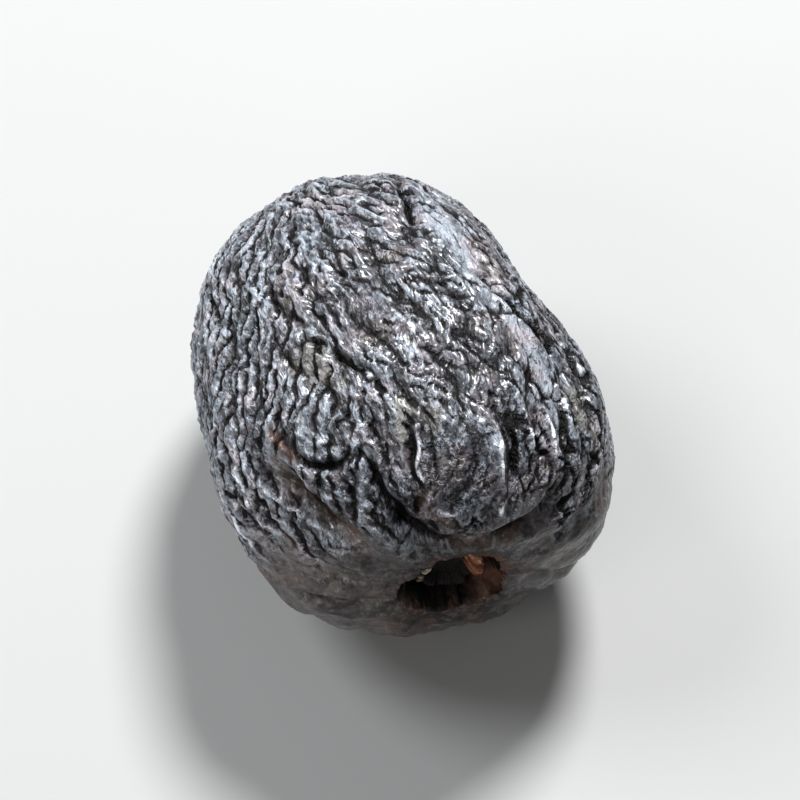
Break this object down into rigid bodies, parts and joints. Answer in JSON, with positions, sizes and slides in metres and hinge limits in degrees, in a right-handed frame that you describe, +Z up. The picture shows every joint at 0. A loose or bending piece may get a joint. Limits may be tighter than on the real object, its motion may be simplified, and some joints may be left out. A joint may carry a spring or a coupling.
{
  "type": "date plum",
  "caption": "Whole dried date plum: a blunt oval fruit with finely wrinkled black skin, a stalk pit with a torn stub at one end and a small style tip at the other.",
  "frame": {"origin": "middle of the flat spot on the underside that the fruit rests on", "axes": "+Z up; the fruit's long axis runs along Y, with the stalk end towards -Y and the style tip towards +Y"},
  "size_m": [0.0245, 0.0298, 0.0229],
  "materials": {
    "skin": "wrinkled dried skin, waxy satin on the ridges, blue-grey bloom",
    "stalk": "dry torn fibre"
  },
  "bodies": {
    "root": {"fruit": "skin", "stalk_stub": "stalk"}
  },
  "joints": []
}
